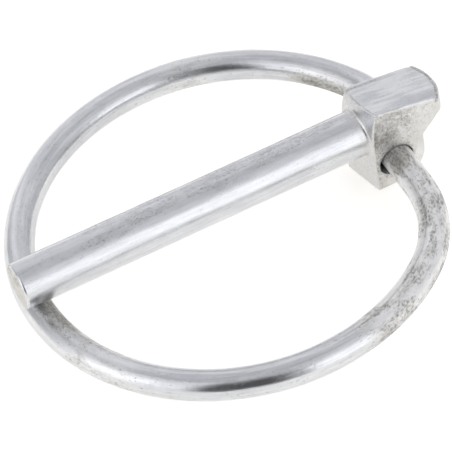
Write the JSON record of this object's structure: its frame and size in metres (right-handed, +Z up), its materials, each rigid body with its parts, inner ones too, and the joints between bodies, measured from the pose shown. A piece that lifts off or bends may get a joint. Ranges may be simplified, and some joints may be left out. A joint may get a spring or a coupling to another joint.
{
  "type": "linch pin",
  "caption": "Linch pin: forged steel pin with a flattened head and a sprung wire ring that swings over the tip to lock it.",
  "frame": {"origin": "on the shank's axis, at the shoulder where the shank meets the head", "axes": "+X along the shank to the tip, Y along the head's cross hole, +Z up, away from the closed ring"},
  "size_m": [0.0573, 0.0558, 0.0145],
  "materials": {
    "plated_forging": "bright zinc plate over a rough forging, streaked along the shank",
    "plated_wire": "bright zinc plate over drawn wire, lightly pitted"
  },
  "bodies": {
    "pin_body": {"pin": "plated_forging"},
    "ring_body": {"ring": "plated_wire"}
  },
  "joints": [
    {"name": "ring_swing", "type": "hinge", "parent": "pin_body", "child": "ring_body", "pos_m": [-0.003, 0, -0.0037], "axis": [0, 1, 0], "range_deg": [0, 347]}
  ]
}
